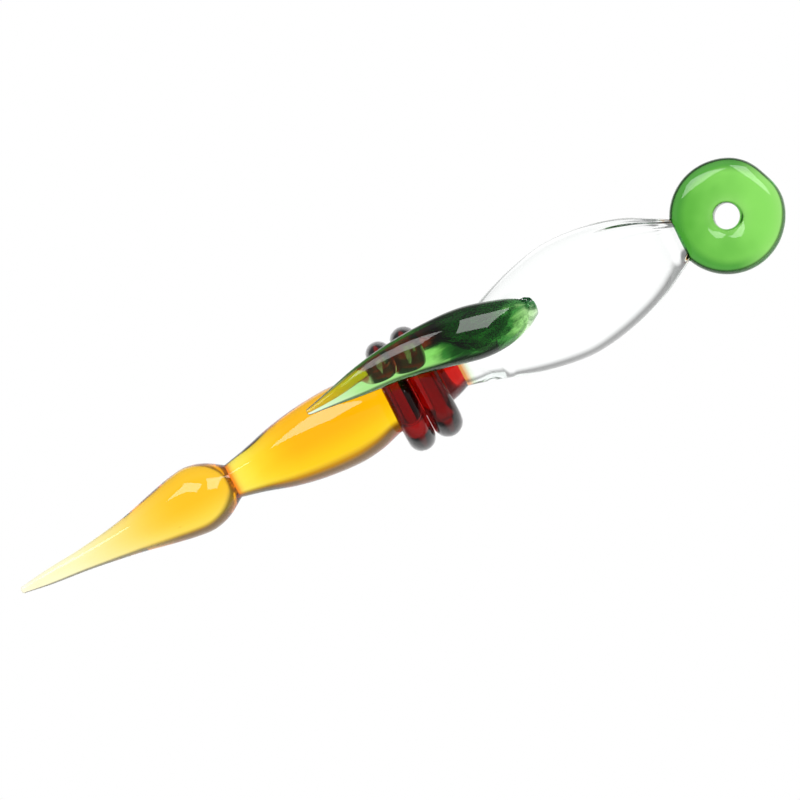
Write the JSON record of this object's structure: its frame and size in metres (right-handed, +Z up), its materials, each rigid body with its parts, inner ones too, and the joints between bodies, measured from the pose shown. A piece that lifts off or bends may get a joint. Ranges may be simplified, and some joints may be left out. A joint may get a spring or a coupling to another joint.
{
  "type": "glass dip pen",
  "caption": "Solid glass dip pen with a smooth tapered tip, amber grip, red wrapped rings, clear spindle, green horn and a green end disc with a cord hole.",
  "frame": {"origin": "on the surface that the pen lies on, under the middle of its bounding box", "axes": "+X along the pen from the point to the end disc, +Z up, the horn on top and the disc's faces level"},
  "size_m": [0.1402, 0.0208, 0.0255],
  "materials": {
    "amber_glass": "fire-polished transparent amber glass, paler where it is thin",
    "red_glass": "fire-polished transparent deep red glass",
    "clear_glass": "fire-polished colourless glass",
    "dark_green_glass": "fire-polished transparent green glass, dark where it is thick",
    "light_green_glass": "fire-polished transparent light green glass"
  },
  "bodies": {
    "root": {"amber_tip": "amber_glass", "amber_body": "amber_glass", "red_core": "red_glass", "front_wrap": "red_glass", "rear_wrap": "red_glass", "clear_body": "clear_glass", "green_horn": "dark_green_glass", "green_disc": "light_green_glass"}
  },
  "joints": []
}
